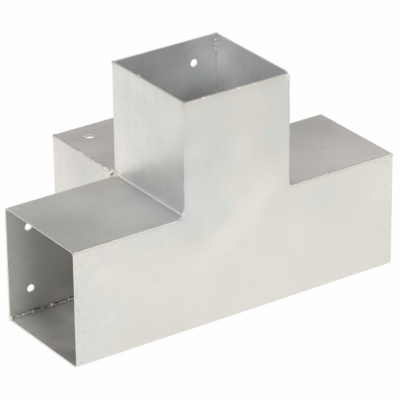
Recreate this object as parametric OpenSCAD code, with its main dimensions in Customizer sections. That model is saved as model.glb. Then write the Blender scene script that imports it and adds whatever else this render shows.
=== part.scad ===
// Four-way post connector: a bar that takes two posts end to end, an upright socket on its
// middle and a third arm behind it. Four folded sheets are welded along their open corners.
// The bar runs along X, the back arm along +Y and the socket along +Z. The origin lies on the
// underside, below the socket's axis. Sizes are in millimetres.

/* [Posts and sheet] */
// Clear width inside every socket, for square posts 1 mm narrower
clear_w = 91; // [71:1:121]
// Thickness of the steel sheet
sheet_t = 1.5; // [1.5:0.25:3]
// Inside radius of the bends that run along the bar
bend_r = 3; // [2:0.5:5]
// Inside radius of the bends that turn from one socket into the next
turn_r = 2; // [1.5:0.5:3.5]

/* [Reach of the sockets] */
// Length of each side arm, from the upright socket's wall to the open end
side_reach = 96; // [60:1:160]
// Height of the upright socket above the arms
top_reach = 91; // [60:1:160]
// Length of the back arm, from the bar's back wall to the open end
back_reach = 86; // [60:1:160]

/* [Screw holes] */
// Diameter of the screw holes
hole_d = 6; // [4:0.5:10]
// Distance between the two holes of a socket
hole_pitch = 51; // [24:1:56]
// Distance from a socket's open end to the centres of its holes
hole_setback = 19; // [12:1:40]

/* [Welds] */
// Gap left between two sheets at an open corner, filled by the weld
root_gap = 0.4; // [0.2:0.1:0.8]
// Radius of the bead that comes through to the inside of a corner
root_r = 1.2; // [1.2:0.1:2]

/* [Hidden] */
$fn = 64;

// Half the clear width: the walls' inner faces, measured from a socket's axis
inner = clear_w / 2;
// Half the outside width: the walls' outer faces
half = inner + sheet_t;
// Outside width and height of the bar
side = 2 * half;
// Height of the arms' ceiling, the inner face of their top
ceiling = side - sheet_t;

// Open ends of the three arms and the socket
bar_end = half + side_reach;
back_end = half + back_reach;
rim = side + top_reach;

// Outside radii of the bends along the bar and of those that turn into the next socket
fold_r = bend_r + sheet_t;
turn_fold_r = turn_r + sheet_t;
// Centres of the turning bends: across, and in height
turn = half + turn_r;
turn_z = side + turn_r;
// Radius of a cut edge that follows a turning bend, one root gap clear of it
edge_r = turn_fold_r + root_gap;
// Cut edge of a wall that stops one root gap short of the next wall's inner face
wall_edge = inner - root_gap;

// Round relief cut where three bends meet, and the lump of weld that closes it
relief_r = 1.35 * max(fold_r, turn_fold_r);
lump_r = 0.5 * relief_r;

sheet_colour = [0.80, 0.81, 0.79];
weld_colour = [0.68, 0.69, 0.68];

// Extrudes a section of the YZ plane from x0 to x1
module along_x(x0, x1) {
    translate([x0, 0, 0])
        rotate([90, 0, 90])
            linear_extrude(x1 - x0)
                children();
}

// Extrudes a section of the XZ plane from y0 to y1
module along_y(y0, y1) {
    translate([0, y1, 0])
        rotate([90, 0, 0])
            linear_extrude(y1 - y0)
                children();
}

// Extrudes a section of the XY plane from z0 to z1
module along_z(z0, z1) {
    translate([0, 0, z0])
        linear_extrude(z1 - z0)
            children();
}

// Section of a sheet folded once, with the inside radius given. The bend's centre is the origin,
// and the two legs leave the bend along +X and +Y. A leg of no length is left out.
module fold_section(inside_r, leg_x, leg_y) {
    outside_r = inside_r + sheet_t;
    intersection() {
        difference() {
            circle(outside_r);
            circle(inside_r);
        }
        translate([-outside_r, -outside_r])
            square(outside_r);
    }
    if (leg_x > 0)
        translate([0, -outside_r])
            square([leg_x, sheet_t]);
    if (leg_y > 0)
        translate([-outside_r, 0])
            square([sheet_t, leg_y]);
}

// Outline of the front plate and of the floor: a bar with a stem, rounded where they meet.
// low is the bar's lower edge, corner the height of the bend centres, high the stem's end.
module tee_outline(low, corner, high) {
    difference() {
        union() {
            translate([-bar_end, low])
                square([2 * bar_end, corner - edge_r - low]);
            translate([-turn, low])
                square([2 * turn, corner - low]);
            translate([-wall_edge, low])
                square([2 * wall_edge, high - low]);
        }
        for (way = [-1, 1])
            translate([way * turn, corner])
                circle(edge_r);
    }
}

// Places a ball where the three bends of a side sheet meet. way is -1 on the left, 1 on the right.
// The ball is turned so that its seam points away from the sheets.
module bend_corner(way, radius) {
    translate([way * half, half, side])
        rotate(90 - way * 45)
            sphere(radius);
}

// Front plate and floor in one piece, folded along the bar's lower front edge
module front_fold() {
    along_y(-half, -inner)
        tee_outline(fold_r, turn_z, rim);
    along_z(0, sheet_t)
        tee_outline(fold_r - half, turn, back_end);
    along_x(-bar_end, bar_end)
        translate([fold_r - half, fold_r])
            fold_section(bend_r, 0, 0);
}

// Side sheet on the left, from one slit blank: the arm's top folds down into its back wall and
// up into the socket's side wall, and the back wall turns out into the back arm's side wall
module side_fold() {
    along_x(-bar_end, -turn)
        translate([half - fold_r, side - fold_r])
            rotate(180)
                fold_section(bend_r, half - fold_r + wall_edge, side - fold_r - sheet_t - root_gap);
    along_y(-wall_edge, wall_edge)
        translate([-turn, turn_z])
            mirror([1, 0])
                fold_section(turn_r, 0, top_reach - turn_r);
    along_z(sheet_t + root_gap, ceiling - root_gap)
        translate([-turn, turn])
            mirror([1, 0])
                fold_section(turn_r, 0, back_reach - turn_r);
}

// Two screw holes through the left arm's back wall, one above the other
module side_holes() {
    for (step = [-0.5, 0.5])
        translate([hole_setback - bar_end, half + 1, side / 2 + step * hole_pitch])
            rotate([90, 0, 0])
                cylinder(d = hole_d, h = sheet_t + 2);
}

// Rear sheet: the socket's back wall, turned out into the back arm's top
module rear_fold() {
    along_x(-wall_edge, wall_edge)
        translate([turn, turn_z])
            fold_section(turn_r, back_reach - turn_r, top_reach - turn_r);
}

// Screw holes through the rear sheet, two under the socket's rim and two near the arm's end
module rear_holes() {
    for (step = [-0.5, 0.5]) {
        translate([step * hole_pitch, half + 1, rim - hole_setback])
            rotate([90, 0, 0])
                cylinder(d = hole_d, h = sheet_t + 2);
        translate([step * hole_pitch, back_end - hole_setback, ceiling - 1])
            cylinder(d = hole_d, h = sheet_t + 2);
    }
}

// Section of a weld in an open corner, with the walls' inner faces meeting at the origin. One
// wall leaves along +X and the other along -Y, so the outside of the corner is up on the left.
module weld_section() {
    intersection() {
        circle(sheet_t);
        translate([-sheet_t, 0])
            square(sheet_t);
    }
    intersection() {
        circle(root_r);
        translate([0, -root_r])
            square(root_r);
    }
    square([root_gap, sheet_t]);
    translate([-sheet_t, -root_gap])
        square([sheet_t, root_gap]);
}

// Weld section swept round a turning bend whose centre is the origin, from +X to +Y
module weld_turn() {
    rotate_extrude(angle = 90)
        translate([turn_fold_r, 0])
            mirror([0, 1])
                weld_section();
}

// Left weld along the arm's upper front edge and on up the socket's front corner
module front_weld() {
    along_x(-bar_end, -turn)
        translate([-inner, ceiling])
            weld_section();
    translate([-turn, -inner, turn_z])
        rotate([-90, 0, 0])
            weld_turn();
    along_z(turn_z, rim)
        translate([-inner, -inner])
            mirror([0, 1])
                weld_section();
}

// Left weld along the arm's lower back edge and on along the back arm's lower edge
module floor_weld() {
    along_x(-bar_end, -turn)
        translate([inner, sheet_t])
            rotate(180)
                weld_section();
    translate([-turn, turn, sheet_t])
        rotate([0, 0, -90])
            weld_turn();
    along_y(turn, back_end)
        translate([-inner, sheet_t])
            mirror([0, 1])
                weld_section();
}

// Left weld down the socket's back corner
module socket_weld() {
    along_z(turn_z, rim)
        translate([-inner, inner])
            weld_section();
}

// Left weld along the back arm's upper edge
module back_arm_weld() {
    along_y(turn, back_end)
        translate([-inner, ceiling])
            weld_section();
}

// The clear way through the bar, the back arm and the socket
module passages() {
    translate([-bar_end, -inner, sheet_t])
        cube([2 * bar_end, clear_w, clear_w]);
    translate([-inner, -inner, sheet_t])
        cube([clear_w, clear_w, rim]);
    translate([-inner, -inner, sheet_t])
        cube([clear_w, back_end + inner, clear_w]);
}

// Weld that closes the round relief on the left: it fills what the relief took from the
// sheets and stands out of them as a lump, clear of the posts
module corner_plug() {
    intersection() {
        bend_corner(-1, relief_r);
        union() {
            side_fold();
            rear_fold();
            socket_weld();
            back_arm_weld();
        }
    }
    difference() {
        bend_corner(-1, lump_r);
        passages();
    }
}

// Right-hand copy of a left-hand piece
module right_hand() {
    mirror([1, 0, 0])
        children();
}

// Front plate with the floor
module front_sheet() {
    color(sheet_colour)
        front_fold();
}

// Left arm's top and back wall, with the side walls of the socket and of the back arm
module left_sheet() {
    color(sheet_colour)
        difference() {
            side_fold();
            side_holes();
            bend_corner(-1, relief_r);
        }
}

// Mirror image of the left sheet
module right_sheet() {
    right_hand()
        left_sheet();
}

// Socket's back wall with the back arm's top
module rear_sheet() {
    color(sheet_colour)
        difference() {
            rear_fold();
            rear_holes();
            for (way = [-1, 1])
                bend_corner(way, relief_r);
        }
}

module left_front_weld() {
    color(weld_colour)
        front_weld();
}

module right_front_weld() {
    right_hand()
        left_front_weld();
}

module left_floor_weld() {
    color(weld_colour)
        floor_weld();
}

module right_floor_weld() {
    right_hand()
        left_floor_weld();
}

module left_socket_weld() {
    color(weld_colour)
        difference() {
            socket_weld();
            bend_corner(-1, relief_r);
        }
}

module right_socket_weld() {
    right_hand()
        left_socket_weld();
}

module left_back_arm_weld() {
    color(weld_colour)
        difference() {
            back_arm_weld();
            bend_corner(-1, relief_r);
        }
}

module right_back_arm_weld() {
    right_hand()
        left_back_arm_weld();
}

module left_corner_plug() {
    color(weld_colour)
        corner_plug();
}

module right_corner_plug() {
    right_hand()
        left_corner_plug();
}

front_sheet();
left_sheet();
right_sheet();
rear_sheet();
left_front_weld();
right_front_weld();
left_floor_weld();
right_floor_weld();
left_socket_weld();
right_socket_weld();
left_back_arm_weld();
right_back_arm_weld();
left_corner_plug();
right_corner_plug();
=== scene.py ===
# %% [markdown]
# # A four-way post connector in galvanised sheet
# The real object is made from four pieces of 1.5 mm sheet steel, folded in a press, welded along
# their open corners and then dipped in molten zinc. The lesson builds its looks around the CAD
# model of the same part: first the zinc finish, then the sheets, then every weld, and at the end
# the studio.

# %% Load the CAD model as a fixed frame
import math

import bmesh
import bpy
from mathutils import Matrix, Vector, noise


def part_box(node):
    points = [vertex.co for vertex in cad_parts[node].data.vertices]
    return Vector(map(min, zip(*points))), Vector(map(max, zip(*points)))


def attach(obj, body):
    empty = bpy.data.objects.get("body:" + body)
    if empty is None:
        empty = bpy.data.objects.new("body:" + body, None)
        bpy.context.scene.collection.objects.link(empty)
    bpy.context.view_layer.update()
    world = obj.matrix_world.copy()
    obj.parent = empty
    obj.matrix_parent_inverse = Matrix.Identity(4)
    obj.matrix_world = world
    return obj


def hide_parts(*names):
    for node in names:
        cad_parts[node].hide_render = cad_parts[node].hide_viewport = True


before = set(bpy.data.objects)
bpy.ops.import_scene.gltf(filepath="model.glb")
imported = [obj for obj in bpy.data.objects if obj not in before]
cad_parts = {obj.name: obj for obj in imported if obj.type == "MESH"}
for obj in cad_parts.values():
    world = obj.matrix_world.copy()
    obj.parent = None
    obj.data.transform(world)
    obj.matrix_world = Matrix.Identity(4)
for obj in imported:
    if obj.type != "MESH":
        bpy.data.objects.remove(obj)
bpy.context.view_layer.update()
print("CAD nodes:", ", ".join(sorted(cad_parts)))

# %% [markdown]
# ## Measures that the pieces share
# Blender works in metres and sheet metal is thought of in millimetres, so one value turns the one
# into the other. Most sizes are read from the boxes of the CAD nodes. Only the sheet's thickness
# and the radii of its bends are written here, because a box doesn't show them.

# %% Sizes of the folded sheet
MM = 0.001
SHEET = 1.5 * MM
BAR_BEND = 3.0 * MM
TURN_BEND = 2.0 * MM
TURN_FOLD = TURN_BEND + SHEET

front_low, front_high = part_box("front_sheet")
bar_end = front_high.x
rim = front_high.z
half = -front_low.y
inner = half - SHEET
side = 2 * half
ceiling = side - SHEET
turn = half + TURN_BEND
turn_height = side + TURN_BEND
back_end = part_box("rear_sheet")[1].y

print("bar half length, rim height and back end in mm:",
      [round(value / MM, 2) for value in (bar_end, rim, back_end)])

# %% [markdown]
# ## Writing shader nodes as sums
# A node tree that mixes many masks is hard to read as boxes and wires. A small class makes it read
# like a formula: it holds one output socket, and a sum, difference or product of two of them adds
# the Math node that works it out.

# %% A wire
class Wire:
    """One output socket, used in sums as if it were a number."""

    def __init__(self, tree, socket):
        self.tree = tree
        self.socket = socket

    def sum_with(self, operation, first, second):
        return self.tree.add("ShaderNodeMath", {"operation": operation}, {0: first, 1: second})

    def __add__(self, other):
        return self.sum_with("ADD", self, other)

    def __sub__(self, other):
        return self.sum_with("SUBTRACT", self, other)

    def __rsub__(self, other):
        return self.sum_with("SUBTRACT", other, self)

    def __mul__(self, other):
        return self.sum_with("MULTIPLY", self, other)

    __radd__ = __add__
    __rmul__ = __mul__

    def __gt__(self, other):
        return self.sum_with("GREATER_THAN", self, other)

    def highest(self, other):
        return self.sum_with("MAXIMUM", self, other)

    def size(self):
        return self.tree.add("ShaderNodeMath", {"operation": "ABSOLUTE"}, {0: self})


print("A wire stands for one output socket")

# %% [markdown]
# Every other kind of node comes from one method, which sets the node's own settings first and then
# its sockets. Short methods name the nodes that are used most.

# %% A tree
class Tree:
    """The node tree of a material or of the world."""

    def __init__(self, owner):
        owner.use_nodes = True
        self.nodes = owner.node_tree.nodes
        self.links = owner.node_tree.links
        self.nodes.clear()

    def add(self, kind, settings=None, sockets=None, output=0):
        """Adds a node and returns one of its outputs."""
        node = self.nodes.new(kind)
        for name, value in (settings or {}).items():
            setattr(node, name, value)
        for name, value in (sockets or {}).items():
            if isinstance(value, Wire):
                self.links.new(value.socket, node.inputs[name])
            else:
                node.inputs[name].default_value = value
        return Wire(self, node.outputs[output]) if len(node.outputs) else node

    def noise(self, place, size, detail=2.0, roughness=0.5):
        """Clouds whose features are about size across, in the units of place."""
        return self.add(
            "ShaderNodeTexNoise",
            {"noise_dimensions": "3D"},
            {"Vector": place, "Scale": 1 / size, "Detail": detail, "Roughness": roughness},
            "Fac",
        )

    def blend(self, factor, first, second):
        """A colour between two others."""
        return self.add(
            "ShaderNodeMix", {"data_type": "RGBA"}, {0: factor, 6: first, 7: second}, 2
        )

    def brightened(self, colour, amount):
        """A colour times a number."""
        return self.add(
            "ShaderNodeVectorMath", {"operation": "SCALE"}, {0: colour, "Scale": amount}
        )

    def ramp(self, value, low, high, to_low=0.0, to_high=1.0):
        """A smooth step of value between low and high."""
        return self.add(
            "ShaderNodeMapRange",
            {"interpolation_type": "SMOOTHSTEP"},
            {"Value": value, 1: low, 2: high, 3: to_low, 4: to_high},
        )


print("Shader helpers are ready")

# %% [markdown]
# ## Dull galvanised zinc
# Zinc that has been out of the bath for a while isn't a mirror. It is a metal with a fairly rough
# skin: it shows its surroundings as soft patches of light, which is how the photograph's upright
# wall turns grey just above the arm that it reflects. A plain grey paint could match one side
# only. A mostly metallic shader in pale surroundings matches all of them at once.
#
# The first things that the finish needs are the point that is shaded, in the object's own
# millimetres, and a way to say "near here".

# %% Places on the object
def place_in_mm(tree):
    """The point that is shaded, in the object's own frame and in millimetres."""
    place = tree.add("ShaderNodeTexCoord", output="Object")
    return tree.brightened(place, 1 / MM)


def parts_of(tree, vector):
    """The three numbers of a vector."""
    return [
        tree.add("ShaderNodeSeparateXYZ", sockets={0: vector}, output=name) for name in "XYZ"
    ]


def spots(tree, place, patches, core=0.2):
    """The sum of round patches. Each is the three numbers of its centre, a radius, a strength."""
    total = 0.0
    for *centre, radius, strength in patches:
        distance = tree.add(
            "ShaderNodeVectorMath", {"operation": "DISTANCE"}, {0: place, 1: centre}, "Value"
        )
        total = total + tree.ramp(distance, radius, core * radius, 0.0, strength)
    return total


def band(tree, distance, width):
    """1 on a line and 0 from width away from it."""
    return tree.ramp(distance.size(), width, 0.45 * width)


print("One Blender unit is", round(1 / MM), "mm")

# %% [markdown]
# The inside of the sockets looks different from the outside. Zinc drains off slowly there and
# nothing ever rubs it, so it stays dull, and its darker colour there is partly painted shade of the
# hollows. A point lies inside when it is within the clear way of the bar, of the upright socket or
# of the back arm, and a few comparisons find that out.

# %% Which points lie inside
def inside_share(x, y, z):
    """1 on the inner faces of the sheets and 0 on the outer ones."""
    reach = (inner + 0.1 * SHEET) / MM
    level = (z - 0.5 * side / MM).size()
    bar = 1.0 - (y.size().highest(level) > reach)
    back_arm = (1.0 - (x.size().highest(level) > reach)) * (y > 0.0)
    above_floor = z > 0.4 * SHEET / MM
    socket = (1.0 - (x.size().highest(y.size()) > reach)) * above_floor
    return bar.highest(back_arm).highest(socket)


print("The clear way reaches", round(inner / MM, 2), "mm from each socket's axis")

# %% [markdown]
# The coating also varies from place to place. Some areas are a little greener, some pinker, and the
# one in the inner corner by the socket's foot is cooler, partly a painted reflection of the grey
# that the metal mirrors there. Broad patches, placed from the photograph, give those. Each has a
# centre in millimetres, a radius and a strength.

# %% Colours of the coating and where they lie
WARM = (0.800, 0.776, 0.722, 1.0)
GREENISH = (0.757, 0.778, 0.732, 1.0)
COOL = (0.746, 0.746, 0.750, 1.0)
PINKISH = (0.802, 0.768, 0.740, 1.0)
# Inside: dull zinc, darker than outside partly as painted shade of the hollows
INNER_GREY = (0.598, 0.604, 0.572, 1.0)
INNER_BROWN = (0.610, 0.585, 0.562, 1.0)
INNER_COOL = (0.720, 0.737, 0.734, 1.0)
# The colour of the painted shade beside the welds and bends
DARK = (0.110, 0.105, 0.098, 1.0)

GREEN_PATCHES = [
    (-143, -47, 20, 48, 1.0),
    (-137, -47, 60, 24, 0.8),
    (-105, -47, 36, 22, 0.6),
    (-36, -47, 152, 34, 0.9),
    (-38, -47, 112, 28, 0.8),
    (42, -47, 140, 26, 0.7),
    (-112, 0, 94, 62, 1.0),
    (-82, -36, 94, 30, 1.0),
    (-47, 2, 148, 76, 0.65),
    (-68, 85, 70, 44, 1.0),
    (40, -47, 168, 22, 0.7),
    (-16, -47, 180, 15, 0.6),
    (-24, -47, 93, 30, 0.9),
    (-8, -47, 132, 18, 0.6),
    (-50, -47, 86, 16, 0.7),
    (76, -47, 76, 24, 0.6),
]
# Cooler and a little darker, partly a painted reflection of the grey that the arm's top and the
# socket's foot mirror
COOL_PATCHES = [
    (-56, -6, 98, 32, 1.0),
    (-54, -36, 98, 26, 0.9),
    (-54, 22, 98, 22, 0.8),
    (-47, -36, 122, 24, 0.8),
    (100, 24, 94, 20, 0.5),
]
PINK_PATCHES = [
    (-47, -9, 161, 13, 0.7),
    (-47, 38, 116, 22, 1.0),
    (-47, 124, 76, 20, 0.8),
    (-24, 102, 94, 52, 1.0),
    (120, -4, 94, 52, 1.0),
    (-76, 34, 94, 20, 0.7),
    (-121, -47, 84, 18, 0.5),
]
BROWN_PATCHES = [
    (-132, -20, 1, 62, 1.0),
    (-84, 45, 50, 30, 1.0),
    (-88, 10, 1, 40, 1.0),
    (-94, 45, 12, 24, 0.9),
    (-100, 32, 1, 24, 0.9),
]
print("Patches of colour:", sum(len(patches) for patches in (
    GREEN_PATCHES, COOL_PATCHES, PINK_PATCHES, BROWN_PATCHES,
)))

# %% [markdown]
# Other patches are lighter, with a positive strength, or darker. They are painted light and shade:
# outside and on the tops mostly a painted reflection of something else that the metal mirrors there,
# inside mostly painted shade and light in the hollows. The lists are for the outside, for the arms'
# tops only and for the inside.

# %% Lighter and darker patches of painted reflection and shade
TONE_PATCHES = [
    # The upright socket's front, darker at its top and left
    (-32, -47, 160, 80, -0.08),
    (48, -47, 150, 50, -0.10),
    (5, -47, 190, 40, -0.022),
    (2, -47, 138, 15, 0.03),
    (42, -47, 100, 22, -0.035),
    (30, -47, 186, 22, -0.07),
    (-41, -47, 158, 15, -0.055),
    # The bar's front, with a lighter streak up to the socket's foot and a darker cloud beside it
    (-10, -47, 26, 150, 0.02),
    (-94, -47, 44, 56, 0.04),
    (-136, -47, 26, 40, 0.028),
    (-116, -47, 82, 44, 0.034),
    (-34, -47, 54, 21, 0.03),
    (-13, -47, 67, 21, 0.042),
    (8, -47, 81, 21, 0.042),
    (25, -47, 95, 21, 0.036),
    (-44, -47, 84, 20, -0.05),
    (-34, -47, 72, 18, -0.025),
    (-15, -47, 88, 15, -0.03),
    (28, -47, 82, 14, -0.035),
    (27, -47, 122, 20, -0.03),
    (-44, -47, 132, 14, -0.045),
    (50, -47, 84, 28, -0.022),
    (88, -47, 80, 38, -0.03),
    (136, -47, 72, 28, 0.028),
    # The upright socket's left wall
    (-47, -44, 128, 22, 0.04),
    (-47, -40, 152, 32, 0.06),
    (-47, -26, 106, 22, -0.05),
    (-47, -20, 180, 14, -0.025),
    (-47, 20, 166, 16, -0.025),
    (-47, 20, 114, 14, 0.03),
    (-47, 40, 182, 30, -0.03),
    (-47, 27, 172, 13, -0.04),
    (-47, 7, 164, 15, -0.035),
    (-47, -8, 176, 18, -0.02),
    (-47, 34, 114, 26, 0.04),
    (-47, -20, 128, 24, 0.02),
    (-47, 4, 100, 36, -0.05),
    # The back arm's left wall
    (-47, 92, 90, 46, -0.085),
]
TOP_PATCHES = [
    (-132, -12, 94, 62, -0.14),
    (-138, -40, 94, 30, -0.04),
    (-76, -12, 94, 36, 0.035),
    (-52, 40, 94, 22, -0.03),
    (-55, -10, 94, 30, 0.035),
    (-49, 41, 94, 5, 0.06),
    (-72, 42, 94, 22, -0.07),
    (-98, 22, 94, 22, 0.055),
    (-62, 16, 94, 14, 0.08),
    (-78, -22, 94, 40, 0.025),
    (64, -20, 94, 46, 0.07),
    (100, -47, 94, 46, 0.05),
    (126, -44, 94, 62, 0.14),
    (100, 46, 94, 48, -0.065),
    (124, 30, 94, 32, -0.10),
    # The back arm's top
    (-43, 94, 94, 27, 0.12),
    (-12, 112, 94, 30, -0.07),
]
INNER_PATCHES = [
    (43, 43, 158, 62, 0.22),
    (20, 45, 138, 60, 0.20),
    (45, 5, 150, 50, 0.05),
    (-10, 45, 190, 70, -0.07),
    (14, 45, 178, 20, -0.14),
    (40, 45, 184, 12, -0.10),
    (40, 45, 162, 15, 0.28),
    (28, 45, 132, 26, -0.36),
    (45, 37, 168, 11, 0.16),
    (45, 16, 182, 18, -0.08),
    (45, 36, 146, 13, -0.12),
    (-112, 45, 62, 56, 0.06),
    (-84, 45, 50, 30, 0.06),
    (-118, 45, 24, 26, 0.05),
    (-140, 45, 38, 32, 0.05),
    (-128, 12, 1, 48, -0.10),
    (-112, 45, 10, 40, -0.08),
    (-140, 38, 1, 18, -0.10),
    (43, -12, 170, 50, -0.03),
    (-141, -45, 1, 80, -0.34),
    (-142, -28, 1, 24, -0.12),
    (-108, 6, 1, 26, 0.55),
    (-124, -16, 1, 20, 0.38),
    (-96, 34, 1, 26, 0.30),
    (-117, 13, 1, 15, -0.12),
    (-129, 27, 1, 13, -0.08),
    (-104, 26, 1, 13, 0.14),
    (-138, -22, 1, 12, -0.08),
]
print("Patches of tone:", len(TONE_PATCHES + TOP_PATCHES + INNER_PATCHES))

# %% [markdown]
# Beside the welds and bends, shade is painted into the colour. A dark broken line runs along each
# arm's wall just above the weld's root, a painted shadow of the bead, with the drops in front of it,
# and small dark spots of painted shade lie between the lumps at the socket's foot. The bends that
# turn into the next socket carry a mark of another kind: a thin grey line of painted shade runs
# along their lower side.

# %% Painted shade beside the welds and bends
PAINTED_SHADE_SPOTS = [
    # Painted shade between the lumps at the socket's foot
    (-49.2, 45.5, 95.6, 0.8, 0.55),
    (-49.8, 45.9, 94.5, 1.3, 0.90),
    (-49.8, 47.5, 93.1, 1.6, 0.85),
    (-51.2, 46.2, 92.5, 1.5, 0.80),
    (-47.0, 53.6, 89.4, 1.3, 0.30),
    # Along the back arm's upper left edge
    (-45.6, 118.5, 94.2, 1.2, 0.20),
    (-45.6, 103.5, 94.2, 1.6, 0.35),
    (-45.8, 99.0, 94.2, 1.2, 0.25),
    (-45.6, 88.5, 94.2, 1.3, 0.22),
    (-45.6, 79.0, 94.2, 1.4, 0.28),
    (-44.9, 65.5, 94.2, 1.6, 0.40),
    (-47.0, 62.4, 92.9, 1.2, 0.25),
    (-44.9, 57.6, 94.2, 1.3, 0.35),
    (-47.5, 53.0, 94.0, 1.3, 0.40),
    # Painted shade beside the drop at the left arm's lower back corner, and round the largest bead
    (-139.9, 44.9, 1.8, 1.3, 0.75),
    (-111.8, 45.0, 2.0, 2.2, 0.70),
    (-105.0, 45.0, 1.8, 1.8, 0.70),
    (-88.6, 45.0, 1.8, 1.8, 0.60),
]


def painted_shade_lines(tree, x, y, z):
    """How dark the lines of painted shade on the sheets are, from 0 to 1."""
    flat = tree.add("ShaderNodeCombineXYZ", sockets={0: x, 1: y, 2: 0.0})
    along = tree.noise(flat, 7.0)
    upright = tree.add("ShaderNodeCombineXYZ", sockets={0: x, 1: y, 2: z})
    fine = tree.noise(upright, 1.6, detail=1.0)

    # The line of painted shadow above the root in both arms, under the proud bead, and a faint
    # painted shade round it and on the floor below
    on_wall = band(tree, y - inner / MM, 0.5)
    line = band(tree, z - 3.0 + 3.2 * (along - 0.5), 1.15 + 1.6 * (fine - 0.5))
    strength = 0.45 + 0.45 * tree.ramp(x.size(), 136.0, 118.0)
    root_line = on_wall * line * tree.ramp(along, 0.40, 0.52) * strength
    wall_shade = on_wall * tree.ramp(z, 8.0, 2.0) * 0.16
    on_floor = band(tree, z - SHEET / MM, 0.5)
    floor_shade = on_floor * tree.ramp(y, 39.0, 44.5) * 0.22

    # A thin line of painted shade along the turning bends' lower side, with a broad faint painted
    # shade beside it
    bend_shade_start = turn / MM + 0.6
    on_top = band(tree, z - side / MM, 0.5)
    beyond = x.size() > turn / MM - 1.0
    bend_shade = band(tree, x.size() - bend_shade_start + 0.6 * (fine - 0.5), 0.9) * 0.12
    shade = tree.ramp(x.size() - bend_shade_start, 8.0, 0.0) * 0.05
    bend_shade = on_top * beyond * (bend_shade + shade)
    return root_line.highest(wall_shade).highest(floor_shade).highest(bend_shade)


print("Dark spots:", len(PAINTED_SHADE_SPOTS))

# %% [markdown]
# Each socket has two screw holes. The zinc runs together in them, so their edges are less metallic,
# and light is painted into them so that their inner wall looks lit. Their centres follow from a few
# measures and the frame's boxes.

# %% Centres of the screw holes
HOLE_RADIUS = 3.0 * MM
HOLE_SETBACK = 19.0 * MM
HOLE_PITCH = 51.0 * MM
HOLE_RIM = 0.8 * MM

in_wall = half - SHEET / 2
in_ceiling = side - SHEET / 2
hole_centres = []
for way in (-0.5, 0.5):
    across = way * HOLE_PITCH
    hole_centres += [
        Vector((HOLE_SETBACK - bar_end, in_wall, side / 2 + across)),
        Vector((bar_end - HOLE_SETBACK, in_wall, side / 2 + across)),
        Vector((across, in_wall, rim - HOLE_SETBACK)),
        Vector((across, back_end - HOLE_SETBACK, in_ceiling)),
    ]
HOLE_PATCHES = [
    (*(centre / MM), (HOLE_RADIUS + HOLE_RIM) / MM, 1.0) for centre in hole_centres
]
print("Screw holes:", len(hole_centres))

# %% [markdown]
# Now the finish itself, in four steps. The first collects what the others ask about the point
# that is shaded: where it lies, and the noise of the coating there, from broad clouds to a fine
# grain, in millimetres. A small class holds these, so that tone and bump use the same noise.

# %% What the finish knows about a point
CLOUDS, TINTS, MOTTLING, PITS, FLECKS, GRAIN = 30, 15, 6.5, 2.0, 1.9, 0.9


class Point:
    """The point that is shaded, its masks and its noise."""

    def __init__(self, tree):
        self.place = place_in_mm(tree)
        self.x, self.y, self.z = parts_of(tree, self.place)
        self.inside = inside_share(self.x, self.y, self.z)
        self.outside = 1.0 - self.inside
        behind_front = self.y > -half / MM + 0.3
        self.on_top = band(tree, self.z - side / MM, 0.7) * self.outside * behind_front
        self.in_hole = spots(tree, self.place, HOLE_PATCHES, core=0.85)

        self.clouds = tree.noise(self.place, CLOUDS, detail=3.0)
        self.mottling = tree.noise(self.place, MOTTLING, detail=3.0, roughness=0.6)
        self.grain = tree.noise(self.place, GRAIN, detail=1.0)
        self.flecks = tree.ramp(tree.noise(self.place, FLECKS, detail=1.0), 0.66, 0.80)


print("Sizes of the noise in mm:", CLOUDS, TINTS, MOTTLING, PITS, FLECKS, GRAIN)

# %% [markdown]
# The second step is the colour. Outside, a warm grey gives way to the greenish, cool and pinkish
# patches, and loose greenish clouds lie between them on the livelier left and upper parts. Inside, a
# dull, darker grey, which is partly painted shade of the hollows, gives way to brown in the arm and
# to a lighter cool grey high in the upright socket.

# %% The colour of the coating
def patch_mask(tree, at, patches, extra=0.0):
    """The patches of a list and anything extra as one soft mask."""
    return tree.ramp(spots(tree, at.place, patches) + extra, 0.05, 0.95)


def coating_colour(tree, at, inside_dullness_and_shade):
    """The zinc's colour before its tone."""
    tint_clouds = tree.noise(tree.brightened(at.place, -1.0), TINTS)
    lively = tree.ramp(at.x, 30.0, -70.0).highest(tree.ramp(at.z, 90.0, 120.0))
    loose = tree.ramp(tint_clouds, 0.52, 0.66) * lively * 0.5
    outer = tree.blend(patch_mask(tree, at, GREEN_PATCHES, loose), WARM, GREENISH)
    outer = tree.blend(patch_mask(tree, at, COOL_PATCHES), outer, COOL)
    outer = tree.blend(patch_mask(tree, at, PINK_PATCHES), outer, PINKISH)

    inner_skin = tree.blend(patch_mask(tree, at, BROWN_PATCHES), INNER_GREY, INNER_BROWN)
    high = tree.ramp(at.z + 0.35 * at.x, 124.0, 160.0)
    inner_skin = tree.blend(high, inner_skin, INNER_COOL)
    return tree.blend(at.inside * inside_dullness_and_shade, outer, inner_skin)


print("The colour blends four shades outside and three inside")

# %% [markdown]
# The third step is the tone, a number that the colour is multiplied by. Two of its three parts are
# the broad lighter and darker areas, which are painted reflections, light and shade, and the light
# and shade painted along edges and corners: the walls' foot, the holes and the upright socket's
# inner corner are painted lighter, the rims, the strip under the rim and the cut edges darker.

# %% The tone of the broad areas and of the edges
END_DEPTH = 30.0


def broad_tone(tree, at):
    """Painted lighter and darker areas, and painted light that falls into the open ends."""
    painted_end_light = tree.ramp(at.x.size(), bar_end / MM - END_DEPTH, bar_end / MM)
    low_floor = tree.ramp(at.y, 42.0, 12.0) * (1.0 - (at.z > 4.0))
    inner_tone = spots(tree, at.place, INNER_PATCHES) + painted_end_light * (0.52 - 0.20 * low_floor)
    return (
        inner_tone * at.inside
        + spots(tree, at.place, TONE_PATCHES) * at.outside
        + spots(tree, at.place, TOP_PATCHES) * at.on_top
    )


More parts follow.
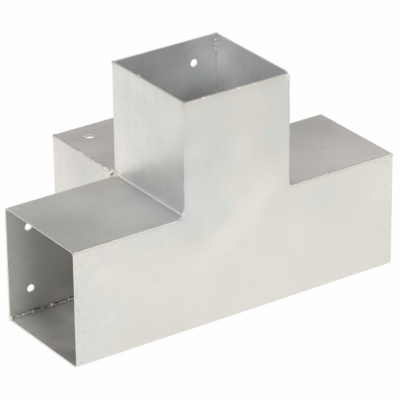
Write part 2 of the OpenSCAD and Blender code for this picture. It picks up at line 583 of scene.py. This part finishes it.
def edge_tone(tree, at):
    """Painted light in holes and corners, and darker rims and upper edges."""
    across = at.x.size()
    foot = band(tree, across - half / MM - 0.6, 1.6) * band(tree, at.z - side / MM - 2.8, 3.4)
    beside_root = band(tree, across - inner / MM, 2.4) * band(tree, at.y - inner / MM, 2.4)
    inner_corner = beside_root * at.inside * (at.z > side / MM)
    under_rim = tree.ramp(at.z, rim / MM - 8.0, rim / MM - 1.0)

    near_left_end = tree.ramp(at.x, 0.6 - bar_end / MM, 0.2 - bar_end / MM)
    end_face = near_left_end * (at.z > (ceiling - SHEET) / MM)
    near_rim = tree.ramp(at.z, rim / MM - 0.6, rim / MM - 0.2)
    rim_face = near_rim * (1.0 - (at.y > -inner / MM))
    front_edge = band(tree, at.z - side / MM, 2.8) * band(tree, at.y + half / MM, 2.8)
    front_edge = front_edge * (across > half / MM) * at.outside
    # Painted light at the walls' foot, in the holes and in the inner corner; the rims and edges
    # darker
    return (
        0.07 * foot
        + 0.25 * at.in_hole
        + 0.14 * inner_corner
        - 0.05 * under_rim
        - 0.20 * end_face
        - 0.09 * rim_face
        - 0.06 * front_edge
    )


print("Light falls", END_DEPTH, "mm into the open ends")

# %% [markdown]
# The third part is the texture. The front was wiped smooth, all but its left end, so it is calmer
# there. The streaks run down, because their noise is stretched by a small scale along the height,
# and are stronger on the side walls. The pits lie near the open ends.

# %% The tone of the texture
STREAKS_ACROSS, STREAKS_DOWN = 0.22, 0.030


def texture_tone(tree, at, fleck_depth):
    """Clouds, mottling, streaks, grain, flecks and pits."""
    on_front = 1.0 - (at.y > -half / MM + 0.5)
    calm = 1.0 - 0.62 * on_front * tree.ramp(at.x - 0.5 * at.z, -150.0, -60.0)

    down = tree.add("ShaderNodeCombineXYZ", sockets={
        0: at.x * STREAKS_ACROSS, 1: at.y * STREAKS_ACROSS, 2: at.z * STREAKS_DOWN,
    })
    on_side = band(tree, at.x.size() - half / MM, 0.6)
    streaks = (tree.noise(down, 1.0) - 0.5) * (0.02 + 0.09 * on_side)

    near_end = tree.ramp(at.x.size(), bar_end / MM - 14.0, bar_end / MM - 3.0)
    pits = tree.ramp(tree.noise(at.place, PITS, detail=1.0), 0.60, 0.68) * near_end
    return (
        0.13 * calm * (at.clouds - 0.5)
        + 0.12 * (calm + at.inside) * (at.mottling - 0.5)
        + streaks
        + (0.04 + 0.05 * at.on_top.highest(at.inside)) * (at.grain - 0.5)
        - fleck_depth * at.flecks
        - 0.13 * pits
    )


print("Streaks are", round(STREAKS_ACROSS / STREAKS_DOWN, 1), "times as long as wide")

# %% [markdown]
# The last step is the shader. Metals take their look from Base Color, Metallic and Roughness, and
# each of the three changes over the object here. The bump is slight: broad waves of the pressed
# sheet, mottling of the coating and a fine grain. The arms' tops mirror the part of the room where
# it fades from white to grey, so the same small waves show far more there than on the front. The
# welds and drops got a thicker coat with more relief, which is hardly duller inside, and the drops a
# far brighter colour, which is a painted highlight.

# %% The zinc finish
def zinc_material(name, shade, rough, metallic, relief_height, fleck_depth, inside_dullness_and_shade):
    """Galvanised metal. inside_dullness_and_shade is how much of the inside's dullness and painted
    shade shows, 1 being all.
    """
    material = bpy.data.materials.new(name)
    tree = Tree(material)
    at = Point(tree)
    tone = shade + broad_tone(tree, at) + edge_tone(tree, at) + texture_tone(tree, at, fleck_depth)
    skin = tree.brightened(coating_colour(tree, at, inside_dullness_and_shade), tone)
    marks = spots(tree, at.place, PAINTED_SHADE_SPOTS, core=0.35)
    if name == "sheet_zinc":
        marks = marks.highest(painted_shade_lines(tree, at.x, at.y, at.z))
    # The dark spots and lines are painted shade
    skin = tree.blend(marks, skin, DARK)

    metallic = metallic - 0.40 * at.inside * inside_dullness_and_shade - 0.45 * at.in_hole
    roughness = rough + 0.14 * (at.mottling - 0.5) + 0.08 * (at.grain - 0.5) + 0.06 * at.inside
    waves = 2.2 * at.clouds + 0.75 * at.mottling + 0.10 * at.grain - 0.10 * at.flecks
    bump = tree.add("ShaderNodeBump", sockets={
        "Strength": 1.0, "Distance": relief_height, "Height": waves,
    })
    shader = tree.add("ShaderNodeBsdfPrincipled", sockets={
        "Base Color": skin, "Metallic": metallic, "Roughness": roughness, "Normal": bump,
    })
    tree.add("ShaderNodeOutputMaterial", sockets={"Surface": shader})
    print(name, "has", len(tree.nodes), "shader nodes")
    return material


sheet_zinc = zinc_material(
    "sheet_zinc", shade=0.985, rough=0.36, metallic=0.78,
    relief_height=0.10 * MM, fleck_depth=0.04, inside_dullness_and_shade=1.0,
)
weld_zinc = zinc_material(
    "weld_zinc", shade=0.96, rough=0.32, metallic=0.72,
    relief_height=0.16 * MM, fleck_depth=0.06, inside_dullness_and_shade=0.35,
)
# The drops' colour is 1.22 times as bright: a painted highlight
drop_zinc_painted_highlight = zinc_material(
    "drop_zinc_painted_highlight", shade=1.22, rough=0.28, metallic=0.72,
    relief_height=0.16 * MM, fleck_depth=0.06, inside_dullness_and_shade=0.20,
)

# %% [markdown]
# ## From a shape to a piece
# A bmesh holds a shape while it is worked on, a mesh keeps the result with its material, and an
# object shows that mesh in the scene.

# %% Helpers that every piece uses
SAME_PLACE = 0.001 * MM


def smooth_faces(shape):
    for face in shape.faces:
        face.smooth = True


def keep_shape(shape, mesh, material):
    """Writes a finished shape into a mesh and gives it its one material."""
    shape.to_mesh(mesh)
    shape.free()
    mesh.materials.clear()
    mesh.materials.append(material)
    return mesh


def shown(name, data):
    """A new object in the scene that shows a mesh, a lamp or a camera."""
    thing = bpy.data.objects.new(name, data)
    bpy.context.scene.collection.objects.link(thing)
    return thing


print("Points closer than", round(SAME_PLACE / MM, 4), "mm count as one")

# %% [markdown]
# ## The four folded sheets
# The CAD sheets already have the right folds, slots and holes, but their edges are as sharp as
# mathematics. Real ones are softened by the cut and by the zinc, and that thin rounding catches
# the light along every rim. The screw holes get a larger one, because the zinc runs together in
# them. An edge is a sharp one when the faces beside it meet at a clear angle.

# %% Find the edges to round
EASING = 0.2 * MM
HOLE_EASING = 0.25 * MM
HOLE_REACH = HOLE_RADIUS + 0.4 * MM
RELIEF_REACH = 7.0 * MM
SHARP = math.radians(40)
FLAT = math.radians(0.5)


def sharp_edges(shape):
    return [
        edge
        for edge in shape.edges
        if len(edge.link_faces) == 2 and edge.calc_face_angle() > SHARP
    ]


def middle_of(edge):
    return (edge.verts[0].co + edge.verts[1].co) / 2


def is_hole_edge(edge):
    """Whether an edge is one step of the circle round a screw hole."""
    middle = middle_of(edge)
    return any((middle - centre).length < HOLE_REACH for centre in hole_centres)


def is_by_plug(edge):
    """Whether an edge is part of the round relief that a lump of weld covers."""
    middle = middle_of(edge)
    corner = Vector((math.copysign(half, middle.x), half, side))
    return (middle - corner).length < RELIEF_REACH


print("Edges are rounded by", round(EASING / MM, 2), "and", round(HOLE_EASING / MM, 2), "mm")

# %% [markdown]
# Two cuts are made by the tool that divides a mesh along a plane. One marks a seam through the
# holes: a face in Blender can't have a hole in it, but each half beside the seam is a plain
# outline. The other takes a corner off. On the real object the upright socket's right front corner
# isn't square, as if the shears had slipped, and several flat cuts make it round.

# %% Cut the sheets along planes
hole_lines = {
    "left_sheet": [HOLE_SETBACK - bar_end],
    "right_sheet": [bar_end - HOLE_SETBACK],
    "rear_sheet": [-HOLE_PITCH / 2, HOLE_PITCH / 2],
}

# In millimetres, the corner itself and how far along the three axes each cut meets its edges
cut_corners = {
    "front_sheet": ((45.1, -47.0, 185.0), [(2.6, -20, 0.9), (1.6, -20, 1.5)]),
    "right_sheet": ((47.0, -45.1, 185.0), [(24, -4.8, 1.2), (24, -3.5, 2.0), (24, -2.0, 2.7)]),
}


def cut_along(shape, point, direction, **settings):
    """Divides the faces along a plane and returns the new edges."""
    items = shape.verts[:] + shape.edges[:] + shape.faces[:]
    cut = bmesh.ops.bisect_plane(
        shape, geom=items, plane_co=point, plane_no=direction, **settings
    )
    return [item for item in cut["geom_cut"] if isinstance(item, bmesh.types.BMEdge)]


def part_at(shape, x):
    """Marks a seam where x has the given value."""
    for edge in cut_along(shape, (x, 0, 0), (1, 0, 0), dist=SAME_PLACE):
        edge.seam = True


def cut_corner(shape, corner, reach):
    """Cuts a corner off along the plane that meets its three edges as far away as reach says."""
    start = corner - Vector((reach[0], 0, 0))
    cut = cut_along(shape, start, [1 / value for value in reach], clear_outer=True)
    bmesh.ops.edgeloop_fill(shape, edges=cut)


print("Cuts at the rim's corner:", sum(len(cuts) for corner, cuts in cut_corners.values()))

# %% [markdown]
# Each CAD sheet is copied and parted at its holes. Then its flat triangles are joined, so that only
# true edges are left, and those are rounded. The bevel leaves faces of no size here and there, so
# they are dissolved. Weighted normals keep the flat faces flat.

# %% Round the cut edges of the sheets
def round_off(shape, edges, width, steps):
    bmesh.ops.bevel(
        shape, geom=edges, offset=width, segments=steps, profile=0.5, affect="EDGES",
        clamp_overlap=False,
    )


def ease_edges(node, shape):
    """Rounds the edges of a sheet's shape."""
    for edge in shape.edges:
        edge.smooth = True
    smooth_faces(shape)
    of_holes = [edge for edge in sharp_edges(shape) if is_hole_edge(edge)]
    print(node, "has", len(of_holes), "short edges round its holes")
    if of_holes:
        round_off(shape, of_holes, HOLE_EASING, 3)
    cut_edges = [edge for edge in sharp_edges(shape) if not is_by_plug(edge)]
    round_off(shape, cut_edges, EASING, 2)
    bmesh.ops.dissolve_degenerate(shape, dist=10 * SAME_PLACE, edges=shape.edges)
    smooth_faces(shape)


def eased_sheet(node):
    """A copy of a CAD sheet with rounded edges, which stands for it."""
    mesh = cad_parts[node].data.copy()
    if "custom_normal" in mesh.attributes:
        mesh.attributes.remove(mesh.attributes["custom_normal"])
    shape = bmesh.new()
    shape.from_mesh(mesh)
    bmesh.ops.remove_doubles(shape, verts=shape.verts, dist=SAME_PLACE)
    for x in hole_lines.get(node, []):
        part_at(shape, x)
    bmesh.ops.dissolve_limit(
        shape, angle_limit=FLAT, verts=shape.verts, edges=shape.edges, delimit={"SEAM"}
    )
    corner, cuts = cut_corners.get(node, (None, []))
    for reach in cuts:
        cut_corner(shape, MM * Vector(corner), MM * Vector(reach))
    ease_edges(node, shape)

    piece = shown(node + "_eased", keep_shape(shape, mesh, sheet_zinc))
    weighted = piece.modifiers.new("flat_faces", "WEIGHTED_NORMAL")
    weighted.keep_sharp = True
    weighted.weight = 50
    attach(piece, "root")
    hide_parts(node)
    print(piece.name, "has", len(mesh.polygons), "faces")


for node in ("front_sheet", "left_sheet", "right_sheet", "rear_sheet"):
    eased_sheet(node)

# %% [markdown]
# ## Welds as swept beads
# Where two sheets meet at an open corner, a weld fills the gap. Outside it lies over the corner as
# a low rounded bead with ripples, and inside it comes through as an uneven root. A bevelled curve
# would give a plain tube, so a ring of points is carried along the seam instead, and its measures
# change from place to place, as in a weld laid by hand. A seam is a list of stations. Each has the
# point where the two inner faces meet, the outward direction of the flat sheet and that of the
# folded sheet.

# %% Seams as lists of stations
STEP = 0.45 * MM


def straight_seam(start, finish, flat, fold):
    """Stations along a straight corner."""
    count = max(2, round((finish - start).length / STEP))
    return [(start.lerp(finish, i / count), flat, fold) for i in range(count + 1)]


def seam_through_bend(start, centre, finish, flat, first_fold, last_fold):
    """Stations along a corner that follows a bend of the folded sheet."""
    to_bend = straight_seam(start, centre - TURN_FOLD * first_fold, flat, first_fold)
    from_bend = straight_seam(centre - TURN_FOLD * last_fold, finish, flat, last_fold)
    count = round(TURN_FOLD * math.pi / 2 / STEP)
    in_bend = []
    for i in range(1, count):
        angle = math.pi / 2 * i / count
        fold = math.cos(angle) * first_fold + math.sin(angle) * last_fold
        in_bend.append((centre - TURN_FOLD * fold, flat, fold))
    return to_bend + in_bend + from_bend


LEFT, BACK, UP = Vector((-1, 0, 0)), Vector((0, 1, 0)), Vector((0, 0, 1))
FRONT, DOWN = -BACK, -UP
RELIEF = 1.35 * (BAR_BEND + SHEET)
LAP_OVER = 0.6 * MM

seams = {
    "front_weld": seam_through_bend(
        Vector((-bar_end, -inner, ceiling)),
        Vector((-turn, -inner, turn_height)),
        Vector((-inner, -inner, rim)),
        FRONT, UP, LEFT,
    ),
    "floor_weld": seam_through_bend(
        Vector((-bar_end, inner, SHEET)),
        Vector((-turn, turn, SHEET)),
        Vector((-inner, back_end, SHEET)),
        DOWN, BACK, LEFT,
    ),
    "socket_weld": straight_seam(
        Vector((-inner, inner, side + RELIEF - LAP_OVER)),
        Vector((-inner, inner, rim)),
        BACK, LEFT,
    ),
    "back_arm_weld": straight_seam(
        Vector((-inner, half + RELIEF - LAP_OVER, ceiling)),
        Vector((-inner, back_end, ceiling)),
        UP, LEFT,
    ),
}
for name, seam in seams.items():
    print(name, "has", len(seam), "stations")

# %% [markdown]
# The outside of the bead is drawn on the outline that the two sheets already have there: along the
# flat sheet, round the corner, and along the folded sheet. At each station the bead stands on that
# outline by a height that is nothing at its two toes and most over the corner.

# %% The ring of points across a bead
OUTER_POINTS = 15
ROOT_POINTS = 7
SUNK = 0.05 * MM


def outer_point(across, lap):
    """A point of the sheets' outline and its outward direction; across runs from -1 to 1."""
    arc = math.pi / 4 * SHEET
    along = across * (lap + arc)
    if along < -arc:
        return Vector((SHEET, along + arc)), Vector((1, 0))
    if along > arc:
        return Vector((arc - along, SHEET)), Vector((0, 1))
    angle = math.pi / 4 + along / SHEET
    direction = Vector((math.cos(angle), math.sin(angle)))
    return SHEET * direction, direction


def ring_across(lap, height, root, roughen):
    """Points round the bead: its outside from toe to toe, then its root inside the corner."""
    ring = []
    for i in range(OUTER_POINTS):
        across = 2 * i / (OUTER_POINTS - 1) - 1
        point, outward = outer_point(across, lap)
        lens = (1 - across * across) ** 0.8
        ring.append(point + outward * (height * lens * roughen(across) - SUNK))
    for i in range(ROOT_POINTS):
        angle = math.pi * (1 + 0.5 * i / (ROOT_POINTS - 1))
        reach = Vector((math.cos(angle), math.sin(angle)))
        point = root * reach * roughen(2 + 2 * i / ROOT_POINTS)
        if i == 0:
            point.y = SUNK
        if i == ROOT_POINTS - 1:
            point.x = SUNK
        ring.append(point)
    return ring


print("A ring has", OUTER_POINTS + ROOT_POINTS, "points")

# %% [markdown]
# The noise that changes the ring's measures is looked up by the distance from the seam's start, so
# the same weld comes out at each run. Each weld has a number of its own and each measure a lane of
# its own in the noise, so no two are alike.

# %% A ring at every station
THINNEST_ROOT = 0.25 * MM


def clamp(value, low=0.0, high=1.0):
    return max(low, min(high, value))


def bead_rings(seam, style, lumps, number):
    """The rings of one weld. style is a dictionary of its measures."""
    rings = []
    seam_mm = sum((b[0] - a[0]).length for a, b in zip(seam, seam[1:])) / MM + 0.01
    length = 0.0
    for i, (point, flat, fold) in enumerate(seam):
        if i:
            length += (point - seam[i - 1][0]).length
        s = length / MM

        def wave(size, lane=0.0):
            return noise.noise(Vector((s / size, lane, 7.3 * number)))

        uneven = 1 + style["uneven"] * wave(6.0) + 0.6 * style["uneven"] * wave(2.2, 3.0)
        lap = style["lap"] * clamp(1 + 0.45 * style["uneven"] * wave(4.0, 5.0), 0.5, 1.6)
        height = style["height"] * max(0.15, uneven)
        dripping = clamp((wave(3.1, 9.0) - style["drop_level"]) * 4)
        root = style["root"] * (1 + 0.5 * wave(3.7, 11.0)) + style["drop"] * dripping
        for where, width, swell in lumps:
            near = math.exp(-((s - where % seam_mm) / width) ** 2)
            height += swell * MM * near
            root += 0.5 * swell * MM * near

        def roughen(across):
            ripple = math.sin(2 * math.pi * (s / style["pitch"] - 0.35 * across * across))
            fine = noise.noise(Vector((s / 0.9, 2.1 * across, 3.1 * number)))
            return 1 + style["ripple"] * ripple + style["fine"] * fine

        ring = ring_across(lap, height, max(THINNEST_ROOT, root), roughen)
        rings.append([point + flat * spot.x + fold * spot.y for spot in ring])
    return rings


print("Rings lie", round(STEP / MM, 2), "mm apart")

# %% [markdown]
# Quads between neighbouring rings make the skin of the bead, and one face closes each end. The
# seams are those of the left side, and the points of a right weld are mirrored as they are made.

# %% Join the rings to a bead
def bead_mesh(name, rings, mirrored):
    """The mesh of one weld."""
    shape = bmesh.new()
    flip = -1 if mirrored else 1
    rings = [
        [shape.verts.new((flip * corner.x, corner.y, corner.z)) for corner in ring]
        for ring in rings
    ]
    count = len(rings[0])
    for ring, following in zip(rings, rings[1:]):
        for j in range(count):
            k = (j + 1) % count
            shape.faces.new((ring[j], ring[k], following[k], following[j]))
    shape.faces.new(rings[0])
    shape.faces.new(rings[-1])
    bmesh.ops.recalc_face_normals(shape, faces=shape.faces)
    for face in shape.faces:
        face.smooth = len(face.verts) == 4
    return keep_shape(shape, bpy.data.meshes.new(name), weld_zinc)


print("A bead has", OUTER_POINTS + ROOT_POINTS, "faces between two rings")

# %% [markdown]
# The welds aren't all alike. The front ones were dressed smooth, because they face the viewer, and
# the left one lies flush. The back arm's upper ones are low and ragged. The floor's ones drip
# through into the arms. Single lumps are set where the photograph shows them. Each is given as its
# distance in millimetres from the seam's start, or from its end where that is negative, with its
# width and swell.

# %% Measures of each kind of weld
flush = {
    "lap": 0.5 * MM, "height": 0.08 * MM, "uneven": 0.5, "pitch": 2.4, "ripple": 0.10,
    "fine": 0.5, "root": 0.9 * MM, "drop": 0.4 * MM, "drop_level": 0.25,
}
raised = dict(flush, lap=0.8 * MM, height=0.20 * MM, uneven=0.8, ripple=0.15)
ragged = {
    "lap": 1.3 * MM, "height": 0.34 * MM, "uneven": 1.5, "pitch": 1.9, "ripple": 0.10,
    "fine": 1.0, "root": 1.0 * MM, "drop": 0.8 * MM, "drop_level": 0.2,
}
smooth_root = dict(
    ragged, lap=0.9 * MM, height=0.14 * MM, uneven=0.7, fine=0.4, root=0.8 * MM, drop=0.2 * MM,
)
dripping = dict(
    raised, height=0.22 * MM, uneven=0.7, pitch=1.6, root=0.7 * MM, drop=0.9 * MM, drop_level=0.10,
)
welds = {
    "left_front_weld": (flush, [(93.0, 1.2, 0.35), (-0.1, 1.0, 0.35)]),
    "right_front_weld": (raised, [(71.0, 0.9, 0.35), (61.0, 0.8, 0.35), (0.6, 1.0, 0.3)]),
    "left_floor_weld": (dripping, [(0.6, 1.4, 1.2), (10.0, 0.8, 0.6), (37.0, 1.0, 0.9)]),
    "right_floor_weld": (dripping, [(0.6, 1.2, 0.7), (52.0, 1.0, 0.6)]),
    "left_socket_weld": (smooth_root, [(-0.2, 1.1, 0.5)]),
    "right_socket_weld": (smooth_root, [(-0.2, 1.2, 0.4), (-8.0, 0.9, 0.5)]),
    "left_back_arm_weld": (
        ragged, [(1.0, 1.2, 0.3), (5.5, 0.8, 0.45), (9.0, 0.9, 0.3), (14.0, 0.7, 0.3)],
    ),
    "right_back_arm_weld": (dict(ragged, height=0.45 * MM), [(2.0, 1.8, 0.5), (30.0, 1.2, 0.4)]),
}
print("Single lumps on the welds:", sum(len(lumps) for style, lumps in welds.values()))

# %% [markdown]
# Each weld is laid along the seam whose name it shares. The right front one stops a few stations
# short, because the rim's corner is cut off there.

# %% Lay the eight welds
SHORT_BY = 5

for number, (node, (style, lumps)) in enumerate(welds.items()):
    hand, seam_name = node.split("_", 1)
    seam = seams[seam_name]
    if node == "right_front_weld":
        seam = seam[:-SHORT_BY]
    rings = bead_rings(seam, style, lumps, number + 1)
    mesh = bead_mesh(node + "_bead", rings, hand == "right")
    bead = shown(node + "_bead", mesh)
    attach(bead, "root")
    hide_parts(node)
    print(bead.name, "has", len(mesh.polygons), "faces")

# %% [markdown]
# ## Lumps where three bends meet
# A sheet can't be folded three ways at one point, so a round relief is cut there and closed by a
# spot of weld. The CAD plug has the right place and bulk. Remeshing it into small even quads gives
# a skin that noise can push about, which turns the clean ball into a lump of metal.

# %% Turn the CAD plugs into lumps
VOXEL = 0.3 * MM
PUSH_REACH = 0.625 * RELIEF
COARSE, FINE = 2.6 * MM, 0.9 * MM


def lumpy_plug(node, number):
    """A remeshed and roughened copy of a CAD plug, which stands for it."""
    source = shown(node + "_source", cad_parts[node].data.copy())
    remesh = source.modifiers.new("even_quads", "REMESH")
    remesh.mode = "VOXEL"
    remesh.voxel_size = VOXEL
    depsgraph = bpy.context.evaluated_depsgraph_get()
    mesh = bpy.data.meshes.new_from_object(source.evaluated_get(depsgraph))
    bpy.data.objects.remove(source)

    way = -1 if node.startswith("left") else 1
    corner = Vector((way * half, half, side))
    shape = bmesh.new()
    shape.from_mesh(mesh)
    bmesh.ops.smooth_vert(
        shape, verts=shape.verts, factor=0.5, use_axis_x=True, use_axis_y=True, use_axis_z=True
    )
    shape.normal_update()
    for vert in shape.verts:
        near = clamp(1 - (vert.co - corner).length / PUSH_REACH) ** 0.5
        coarse = noise.noise(vert.co / COARSE + Vector((number, 0, 0)))
        fine = noise.noise(vert.co / FINE + Vector((0, number, 0)))
        push = near * (0.6 * coarse + 0.3 * fine) * MM - SUNK
        vert.co += vert.normal * push
    smooth_faces(shape)

    lump = shown(node + "_lump", keep_shape(shape, mesh, weld_zinc))
    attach(lump, "root")
    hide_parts(node)
    print(lump.name, "has", len(mesh.polygons), "faces")


lumpy_plug("left_corner_plug", 1.7)
lumpy_plug("right_corner_plug", 5.2)

# %% [markdown]
# ## Drops and blobs
# Zinc gathers in drops where it runs off a rim, and weld spatter and the weld's own starts and
# stops leave blobs at the corners. They are small, but they break the straight lines that make a
# computed picture look computed. Each is a ball, stretched, dented by noise and sunk part of the
# way into the metal where the photograph shows it. Three larger balls make the web of weld at the
# front of the socket's foot.

# %% Measures of the drops, in millimetres
drops = [
    # Corners of the upright socket's rim
    ((44.7, -46.0, 182.9), (1.7, 1.3, 1.7)),
    ((44.6, -46.6, 180.6), (1.2, 0.8, 1.1)),
    ((46.2, 46.2, 183.9), (1.2, 1.1, 1.0)),
    ((45.1, 45.1, 180.0), (0.8, 0.8, 1.1)),
    ((-46.0, 46.0, 184.2), (1.3, 1.2, 0.9)),
    # The rim's front edge
    ((-29.5, -46.6, 184.4), (1.9, 1.0, 1.0)),
    ((-26.2, -46.6, 184.4), (1.1, 0.9, 0.8)),
    ((1.1, -46.6, 184.4), (2.1, 1.0, 1.0)),
    ((14.9, -46.6, 184.4), (1.9, 1.0, 0.9)),
    # The left arm's lower back corner, and the root behind it
    ((-141.9, 46.2, 1.6), (2.0, 1.9, 2.1)),
    ((-136.6, 44.5, 2.3), (0.9, 0.8, 0.8)),
    ((-131.6, 44.5, 2.5), (1.1, 0.9, 0.9)),
    ((-127.4, 44.6, 2.4), (1.6, 0.7, 0.6)),
    ((-107.0, 44.1, 2.9), (1.4, 1.3, 1.3)),
    ((-105.2, 44.4, 2.6), (0.9, 0.9, 0.8)),
    ((-99.0, 44.5, 2.4), (0.9, 0.8, 0.7)),
    ((-97.2, 44.5, 2.4), (0.6, 0.7, 0.7)),
    ((-91.6, 44.4, 2.6), (1.2, 0.9, 0.9)),
    ((-88.8, 44.4, 2.5), (1.0, 0.8, 0.8)),
    # The root inside the upright socket
    ((44.8, 44.8, 176.3), (0.7, 0.7, 1.1)),
    ((44.7, 44.7, 171.0), (0.8, 0.8, 3.0)),
    ((44.7, 44.7, 158.5), (0.7, 0.7, 2.0)),
    ((44.6, 44.6, 146.0), (0.9, 0.9, 4.5)),
    # The spot of weld at the socket's foot, and its drops on the back arm
    ((-48.0, 46.6, 96.9), (0.8, 0.8, 0.9)),
    ((-49.1, 46.7, 96.1), (0.9, 0.8, 0.9)),
    ((-49.7, 47.2, 95.2), (0.8, 0.8, 0.9)),
    ((-47.4, 49.4, 94.8), (1.1, 1.0, 1.0)),
    ((-46.6, 53.3, 94.2), (1.2, 1.2, 1.0)),
    ((-47.1, 57.2, 93.6), (0.9, 1.3, 0.8)),
    ((-46.6, 61.3, 94.0), (1.0, 1.0, 0.6)),
    ((-47.1, 67.8, 93.6), (0.6, 1.2, 0.6)),
    ((-46.9, 74.9, 93.9), (0.7, 1.0, 0.5)),
    ((-46.9, 92.5, 93.9), (0.6, 1.3, 0.4)),
    ((48.4, 47.6, 95.0), (1.5, 1.5, 1.4)),
    ((46.8, 70.5, 93.9), (0.8, 1.4, 0.7)),
    ((46.8, 118.0, 93.9), (0.6, 0.9, 0.6)),
    # The burr of a screw hole
    ((-28.6, 115.8, 94.0), (1.5, 1.0, 0.5)),
]
webs = [
    ((-47.7, -46.2, 96.2), (2.2, 0.8, 3.2)),
    ((-50.0, -46.2, 94.2), (2.4, 0.8, 1.3)),
    ((-46.7, -46.2, 99.8), (1.1, 0.8, 2.8)),
]
print("Drops:", len(drops), "and balls in the web:", len(webs))

# %% [markdown]
# A ball starts as an icosphere, whose triangles are all about the same size. The balls of a list
# become one mesh. It stands for no CAD node, so it only rides on the body.

# %% Set the drops
DENT = 0.30


def add_drop(shape, centre, radii, number):
    """Adds one dented ball to a mesh."""
    made = bmesh.ops.create_icosphere(shape, subdivisions=4, radius=1.0)
    for vert in made["verts"]:
        way = vert.co.copy()
        dent = noise.noise(1.3 * way + Vector((number, 0, 0)))
        dent += 0.4 * noise.noise(3.1 * way + Vector((0, number, 0)))
        swell = 1 + DENT * dent
        for axis in range(3):
            vert.co[axis] = MM * (centre[axis] + radii[axis] * way[axis] * swell)


def set_drops(name, balls, material):
    """One mesh with all the balls of a list."""
    shape = bmesh.new()
    for number, (centre, radii) in enumerate(balls):
        add_drop(shape, centre, radii, 3.7 * number)
    smooth_faces(shape)
    mesh = keep_shape(shape, bpy.data.meshes.new(name), material)
    piece = shown(name, mesh)
    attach(piece, "root")
    print(name, "has", len(balls), "balls and", len(mesh.polygons), "faces")


set_drops("zinc_drops", drops, drop_zinc_painted_highlight)
set_drops("weld_webs", webs, weld_zinc)

# %% [markdown]
# ## The floor
# The object stands on a plain white ground. A lit floor would be white in one place and grey in
# another, and turning up the lamps would burn out the zinc. So the floor shows most of its white
# only to the camera and to the metal that mirrors it, and the rest is ordinary white paint, which
# still takes the object's soft shadow.

# %% A white floor that keeps the shadow
GLOW_SHARE = 0.97
FLOOR_REACH = 14.0
FLOOR_HEIGHT = -0.2 * MM
WHITE = (1.0, 1.0, 1.0, 1.0)
PAINT = (0.9, 0.9, 0.9, 1.0)

floor_material = bpy.data.materials.new("studio_floor")
tree = Tree(floor_material)
seen = tree.add("ShaderNodeLightPath", output="Is Camera Ray")
seen = seen.highest(tree.add("ShaderNodeLightPath", output="Is Glossy Ray"))
seen = seen.highest(tree.add("ShaderNodeLightPath", output="Is Transmission Ray"))
paint = tree.add(
    "ShaderNodeBsdfPrincipled",
    sockets={"Base Color": PAINT, "Roughness": 0.9, "Specular IOR Level": 0.0},
)
glow = tree.add("ShaderNodeEmission", sockets={"Color": WHITE, "Strength": 1.0})
surface = tree.add("ShaderNodeMixShader", sockets={0: seen * GLOW_SHARE, 1: paint, 2: glow})
tree.add("ShaderNodeOutputMaterial", sockets={"Surface": surface})

corners = [
    (x * FLOOR_REACH, y * FLOOR_REACH, FLOOR_HEIGHT) for x, y in ((-1, -1), (1, -1), (1, 1), (-1, 1))
]
floor_mesh = bpy.data.meshes.new("studio_floor")
floor_mesh.from_pydata(corners, [], [(0, 1, 2, 3)])
floor_mesh.materials.append(floor_material)
floor = shown("studio_floor", floor_mesh)
print("Floor is", 2 * FLOOR_REACH, "m wide")

# %% [markdown]
# ## Light
# The walls and the front are bright because they mirror the white floor. The arms' tops are a good
# deal greyer, because they mirror what is above and behind. So the surroundings are white at the
# horizon and fade to a plain grey overhead, with one large soft lamp on the left, one in front on
# the right and one above that reaches into the upright socket.

# %% Grey surroundings and three soft lamps
FADE_END = 0.62
OVERHEAD = 0.32
LAMPS_AIM = Vector((0, 0, 0.1))

world = bpy.data.worlds.new("studio")
bpy.context.scene.world = world
tree = Tree(world)
look = tree.add("ShaderNodeTexCoord", output="Generated")
height = parts_of(tree, look)[2]
level = tree.ramp(height, 0.0, FADE_END, 1.0, OVERHEAD)
background = tree.add("ShaderNodeBackground", sockets={"Color": WHITE, "Strength": level})
tree.add("ShaderNodeOutputWorld", sockets={"Surface": background})


def soft_lamp(name, place, width, watts):
    """A square studio lamp that faces the object."""
    data = bpy.data.lights.new(name, "AREA")
    data.shape = "SQUARE"
    data.size = width
    data.energy = watts
    lamp = shown(name, data)
    lamp.location = place
    lamp.rotation_euler = (LAMPS_AIM - Vector(place)).to_track_quat("-Z", "Y").to_euler()


soft_lamp("left_lamp", (-2.2, 0.3, 1.8), width=1.8, watts=14)
soft_lamp("front_lamp", (1.6, -2.1, 1.9), width=1.5, watts=12)
soft_lamp("top_lamp", (-0.2, -0.4, 2.8), width=1.4, watts=20)
print("Overhead the surroundings have", OVERHEAD, "of the horizon's light")

# %% [markdown]
# ## The camera
# The photograph was taken from in front, to the left and above, with a long lens from more than
# two metres away, which is why the arms hardly narrow. The three angles and the distance come from
# lining up the CAD model's corners with the ones in the picture.

# %% The camera of the photograph
AZIMUTH, ELEVATION, ROLL = 34.408, 25.647, -0.639
AIM = Vector((0.01168, 0.01968, 0.06617))
DISTANCE = 2.34534

lens_data = bpy.data.cameras.new("camera")
lens_data.sensor_width = 36.0
lens_data.lens = 280.0
camera = shown("camera", lens_data)
facing = (
    Matrix.Rotation(math.radians(-AZIMUTH), 4, "Z")
    @ Matrix.Rotation(math.radians(90 - ELEVATION), 4, "X")
    @ Matrix.Rotation(math.radians(ROLL), 4, "Z")
)
camera.matrix_world = Matrix.Translation(AIM) @ facing @ Matrix.Translation((0, 0, DISTANCE))
bpy.context.scene.camera = camera
bpy.context.scene.view_settings.view_transform = "Standard"
print("Camera stands at", [round(value, 3) for value in camera.matrix_world.translation])

# %% [markdown]
# ## Finish

# %% Finish
bpy.context.view_layer.update()
